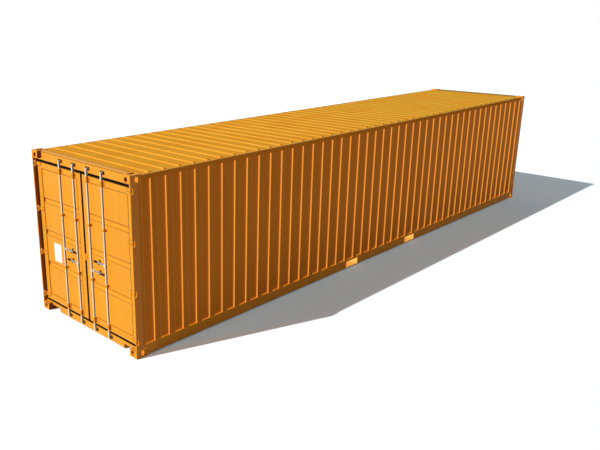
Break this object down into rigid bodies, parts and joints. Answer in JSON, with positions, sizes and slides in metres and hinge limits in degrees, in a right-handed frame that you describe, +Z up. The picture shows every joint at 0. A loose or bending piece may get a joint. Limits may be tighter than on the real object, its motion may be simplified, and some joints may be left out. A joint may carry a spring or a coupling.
{
  "type": "shipping container",
  "caption": "Forty foot steel dry container with corrugated sides, hinged double doors, turning lock bars and lifting handles.",
  "frame": {"origin": "centre of the footprint at the undersides of the bottom castings", "axes": "+X to the right seen from the doors, +Y along the container away from the doors, +Z up"},
  "size_m": [2.438, 12.192, 2.591],
  "materials": {
    "door_paint": "satin",
    "frame_paint": "satin",
    "sheet_paint": "satin",
    "casting_paint": "satin",
    "galvanised": "galvanised",
    "dark_steel": "dull",
    "door_rubber": "matt",
    "plywood": "oiled",
    "plate_white": "satin"
  },
  "bodies": {
    "container": {"corner_castings_bottom": "casting_paint", "corner_castings_top": "casting_paint", "rear_post_left": "frame_paint", "rear_post_right": "frame_paint", "front_posts": "frame_paint", "door_header": "frame_paint", "door_sill": "frame_paint", "front_header": "frame_paint", "front_sill": "frame_paint", "bottom_rails": "frame_paint", "top_rails": "frame_paint", "side_wall_left": "sheet_paint", "side_wall_right": "sheet_paint", "front_wall": "sheet_paint", "roof": "sheet_paint", "floor_boards": "plywood", "cross_members": "frame_paint", "fork_pockets": "frame_paint", "cam_keepers": "dark_steel", "hinge_lugs": "frame_paint", "hinge_pins": "frame_paint"},
    "left_door": {"left_door_frame": "door_paint", "left_door_panel": "door_paint", "left_door_gasket": "door_rubber", "left_door_hinge_blades": "door_paint", "left_door_bar_brackets": "door_paint", "left_door_handle_catches": "dark_steel", "left_door_seal_lug": "door_paint", "data_plate": "plate_white"},
    "right_door": {"right_door_frame": "door_paint", "right_door_panel": "door_paint", "right_door_gasket": "door_rubber", "right_door_hinge_blades": "door_paint", "right_door_bar_brackets": "door_paint", "right_door_handle_catches": "dark_steel", "right_door_seal_lug": "door_paint"},
    "lock_bar_1": {"lock_bar_1": "galvanised"},
    "handle_1": {"handle_1": "galvanised"},
    "lock_bar_2": {"lock_bar_2": "galvanised"},
    "handle_2": {"handle_2": "galvanised"},
    "lock_bar_3": {"lock_bar_3": "galvanised"},
    "handle_3": {"handle_3": "galvanised"},
    "lock_bar_4": {"lock_bar_4": "galvanised"},
    "handle_4": {"handle_4": "galvanised"}
  },
  "joints": [
    {"name": "left_door_swing", "type": "hinge", "parent": "container", "child": "left_door", "pos_m": [-1.207, -6.084, 1.295], "axis": [0, 0, -1], "range_deg": [0, 270]},
    {"name": "right_door_swing", "type": "hinge", "parent": "container", "child": "right_door", "pos_m": [1.207, -6.084, 1.295], "axis": [0, 0, 1], "range_deg": [0, 270]},
    {"name": "lock_bar_1_turn", "type": "hinge", "parent": "left_door", "child": "lock_bar_1", "pos_m": [-0.525, -6.0525, 1.286], "axis": [0, 0, 1], "range_deg": [-90, 0]},
    {"name": "lock_bar_2_turn", "type": "hinge", "parent": "left_door", "child": "lock_bar_2", "pos_m": [-0.172, -6.0525, 1.286], "axis": [0, 0, -1], "range_deg": [-90, 0]},
    {"name": "lock_bar_3_turn", "type": "hinge", "parent": "right_door", "child": "lock_bar_3", "pos_m": [0.172, -6.0525, 1.286], "axis": [0, 0, 1], "range_deg": [-90, 0]},
    {"name": "lock_bar_4_turn", "type": "hinge", "parent": "right_door", "child": "lock_bar_4", "pos_m": [0.525, -6.0525, 1.286], "axis": [0, 0, -1], "range_deg": [-90, 0]},
    {"name": "handle_1_lift", "type": "hinge", "parent": "lock_bar_1", "child": "handle_1", "pos_m": [-0.485, -6.047, 1.17], "axis": [0, 1, 0], "range_deg": [-18, 0]},
    {"name": "handle_2_lift", "type": "hinge", "parent": "lock_bar_2", "child": "handle_2", "pos_m": [-0.212, -6.047, 1.018], "axis": [0, -1, 0], "range_deg": [-18, 0]},
    {"name": "handle_3_lift", "type": "hinge", "parent": "lock_bar_3", "child": "handle_3", "pos_m": [0.212, -6.047, 1.018], "axis": [0, 1, 0], "range_deg": [-18, 0]},
    {"name": "handle_4_lift", "type": "hinge", "parent": "lock_bar_4", "child": "handle_4", "pos_m": [0.485, -6.047, 1.17], "axis": [0, -1, 0], "range_deg": [-18, 0]}
  ]
}
